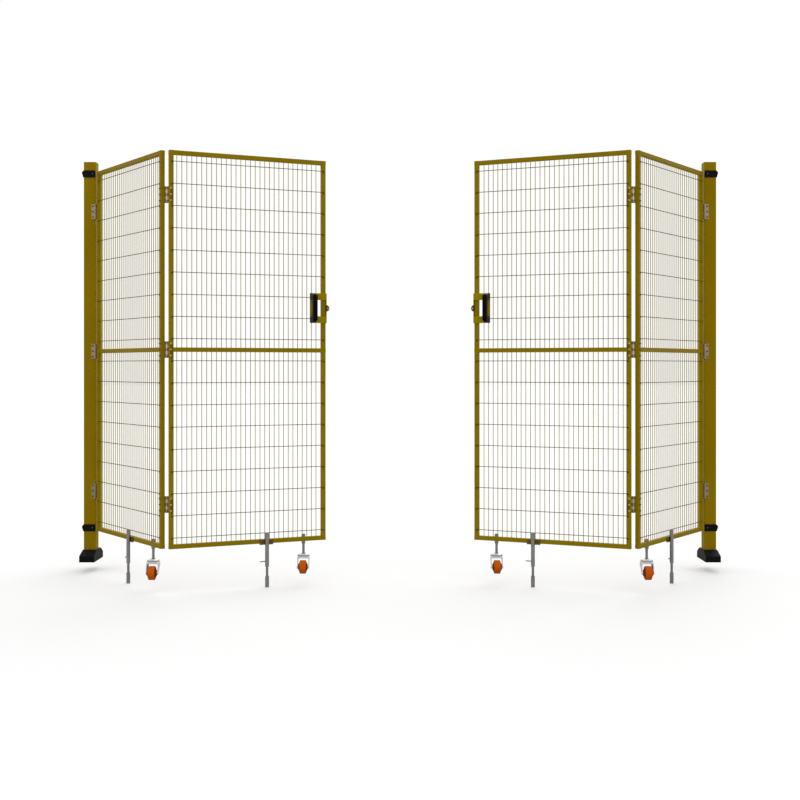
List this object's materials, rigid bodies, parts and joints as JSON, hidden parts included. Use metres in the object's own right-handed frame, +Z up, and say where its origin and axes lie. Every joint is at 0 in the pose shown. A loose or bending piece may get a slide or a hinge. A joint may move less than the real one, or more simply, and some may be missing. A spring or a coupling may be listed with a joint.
{
  "type": "machine guard gate",
  "caption": "Double bi-fold wire mesh machine guard gate between square posts, with hinged leaves, drop bolts, swivel casters, pull handles and padlock lugs.",
  "frame": {"origin": "middle of the gateway at floor level, on the line through the two posts' centres", "axes": "+X to the right along the closed gate, +Y through the gate away from the side that the handles are on, +Z up"},
  "size_m": [3.19, 0.7457, 2.05],
  "materials": {
    "frame_paint": "olive yellow powder coat, satin",
    "post_paint": "olive yellow powder coat, satin",
    "mesh_paint": "olive yellow powder coat over wire, satin",
    "bracket_paint": "olive yellow powder coat, satin",
    "black_cover": "moulded black, satin",
    "black_clamp": "moulded black, satin",
    "black_handle": "moulded black, fine grain",
    "hinge_zinc": "zinc plated, satin",
    "yellow_zinc": "yellow zinc plated, satin",
    "screw_steel": "zinc plated, dull",
    "bolt_steel": "turned steel, satin",
    "guide_steel": "zinc plated tube, satin",
    "socket_steel": "zinc plated tube, dull",
    "fork_steel": "pressed sheet, bright zinc",
    "wheel_core": "moulded dark brown, satin",
    "tyre": "cast polyurethane, matt orange"
  },
  "bodies": {
    "posts": {"post_left": "post_paint", "post_right": "post_paint", "foot_cover_left": "black_cover", "foot_cover_right": "black_cover", "panel_clamps": "black_clamp", "clamp_bolts": "screw_steel", "post_hinges_left": "hinge_zinc", "post_hinges_right": "hinge_zinc", "post_hinge_screws": "screw_steel", "floor_sockets": "socket_steel"},
    "post_leaf_left": {"post_leaf_frame_left": "frame_paint", "post_leaf_mesh_left": "mesh_paint", "post_leaf_end_wings_left": "hinge_zinc", "post_leaf_fold_wings_left": "hinge_zinc", "post_leaf_fixings_left": "yellow_zinc", "post_leaf_bolt_guide_left": "guide_steel", "post_leaf_caster_stem_left": "bolt_steel"},
    "lead_leaf_left": {"lead_leaf_frame_left": "frame_paint", "lead_leaf_mesh_left": "mesh_paint", "lead_leaf_fold_wings_left": "hinge_zinc", "lead_leaf_fixings_left": "yellow_zinc", "lead_leaf_bolt_guide_left": "guide_steel", "lead_leaf_caster_stem_left": "bolt_steel", "lock_bracket_left": "bracket_paint", "pull_handle_left": "black_handle", "handle_screws_left": "screw_steel"},
    "post_rod_left": {"post_leaf_drop_rod_left": "bolt_steel"},
    "post_caster_left": {"post_leaf_fork_left": "fork_steel"},
    "post_wheel_left": {"post_leaf_wheel_core_left": "wheel_core", "post_leaf_tyre_left": "tyre"},
    "lead_rod_left": {"lead_leaf_drop_rod_left": "bolt_steel"},
    "lead_caster_left": {"lead_leaf_fork_left": "fork_steel"},
    "lead_wheel_left": {"lead_leaf_wheel_core_left": "wheel_core", "lead_leaf_tyre_left": "tyre"},
    "post_leaf_right": {"post_leaf_frame_right": "frame_paint", "post_leaf_mesh_right": "mesh_paint", "post_leaf_end_wings_right": "hinge_zinc", "post_leaf_fold_wings_right": "hinge_zinc", "post_leaf_fixings_right": "yellow_zinc", "post_leaf_bolt_guide_right": "guide_steel", "post_leaf_caster_stem_right": "bolt_steel"},
    "lead_leaf_right": {"lead_leaf_frame_right": "frame_paint", "lead_leaf_mesh_right": "mesh_paint", "lead_leaf_fold_wings_right": "hinge_zinc", "lead_leaf_fixings_right": "yellow_zinc", "lead_leaf_bolt_guide_right": "guide_steel", "lead_leaf_caster_stem_right": "bolt_steel", "lock_bracket_right": "bracket_paint", "pull_handle_right": "black_handle", "handle_screws_right": "screw_steel"},
    "post_rod_right": {"post_leaf_drop_rod_right": "bolt_steel"},
    "post_caster_right": {"post_leaf_fork_right": "fork_steel"},
    "post_wheel_right": {"post_leaf_wheel_core_right": "wheel_core", "post_leaf_tyre_right": "tyre"},
    "lead_rod_right": {"lead_leaf_drop_rod_right": "bolt_steel"},
    "lead_caster_right": {"lead_leaf_fork_right": "fork_steel"},
    "lead_wheel_right": {"lead_leaf_wheel_core_right": "wheel_core", "lead_leaf_tyre_right": "tyre"}
  },
  "joints": [
    {"name": "post_hinge_left", "type": "hinge", "parent": "posts", "child": "post_leaf_left", "pos_m": [-1.528, -0.036, 0], "axis": [0, 0, 1], "range_deg": [-36, 54]},
    {"name": "fold_hinge_left", "type": "hinge", "parent": "post_leaf_left", "child": "lead_leaf_left", "pos_m": [-1.05422, -0.63366, 0], "axis": [0, 0, -1], "range_deg": [-90, 78]},
    {"name": "post_drop_bolt_left", "type": "slide", "parent": "post_leaf_left", "child": "post_rod_left", "axis": [0, 0, 1], "range_m": [-0.016, 0.06]},
    {"name": "post_caster_swivel_left", "type": "hinge", "parent": "post_leaf_left", "child": "post_caster_left", "pos_m": [-1.13128, -0.55244, 0.08], "axis": [0, 0, 1], "continuous": true},
    {"name": "post_wheel_spin_left", "type": "hinge", "parent": "post_caster_left", "child": "post_wheel_left", "pos_m": [-1.13128, -0.58244, 0.0315], "axis": [1, 0, 0], "continuous": true},
    {"name": "lead_drop_bolt_left", "type": "slide", "parent": "lead_leaf_left", "child": "lead_rod_left", "axis": [0, 0, 1], "range_m": [-0.016, 0.06]},
    {"name": "lead_caster_swivel_left", "type": "hinge", "parent": "lead_leaf_left", "child": "lead_caster_left", "pos_m": [-0.4563, -0.38343, 0.08], "axis": [0, 0, 1], "continuous": true},
    {"name": "lead_wheel_spin_left", "type": "hinge", "parent": "lead_caster_left", "child": "lead_wheel_left", "pos_m": [-0.4563, -0.41343, 0.0315], "axis": [1, 0, 0], "continuous": true},
    {"name": "post_hinge_right", "type": "hinge", "parent": "posts", "child": "post_leaf_right", "pos_m": [1.528, -0.036, 0], "axis": [0, 0, -1], "range_deg": [-36, 54]},
    {"name": "fold_hinge_right", "type": "hinge", "parent": "post_leaf_right", "child": "lead_leaf_right", "pos_m": [1.05422, -0.63366, 0], "axis": [0, 0, 1], "range_deg": [-90, 78]},
    {"name": "post_drop_bolt_right", "type": "slide", "parent": "post_leaf_right", "child": "post_rod_right", "axis": [0, 0, 1], "range_m": [-0.016, 0.06]},
    {"name": "post_caster_swivel_right", "type": "hinge", "parent": "post_leaf_right", "child": "post_caster_right", "pos_m": [1.13128, -0.55244, 0.08], "axis": [0, 0, 1], "continuous": true},
    {"name": "post_wheel_spin_right", "type": "hinge", "parent": "post_caster_right", "child": "post_wheel_right", "pos_m": [1.13128, -0.58244, 0.0315], "axis": [1, 0, 0], "continuous": true},
    {"name": "lead_drop_bolt_right", "type": "slide", "parent": "lead_leaf_right", "child": "lead_rod_right", "axis": [0, 0, 1], "range_m": [-0.016, 0.06]},
    {"name": "lead_caster_swivel_right", "type": "hinge", "parent": "lead_leaf_right", "child": "lead_caster_right", "pos_m": [0.4563, -0.38343, 0.08], "axis": [0, 0, 1], "continuous": true},
    {"name": "lead_wheel_spin_right", "type": "hinge", "parent": "lead_caster_right", "child": "lead_wheel_right", "pos_m": [0.4563, -0.41343, 0.0315], "axis": [1, 0, 0], "continuous": true}
  ]
}
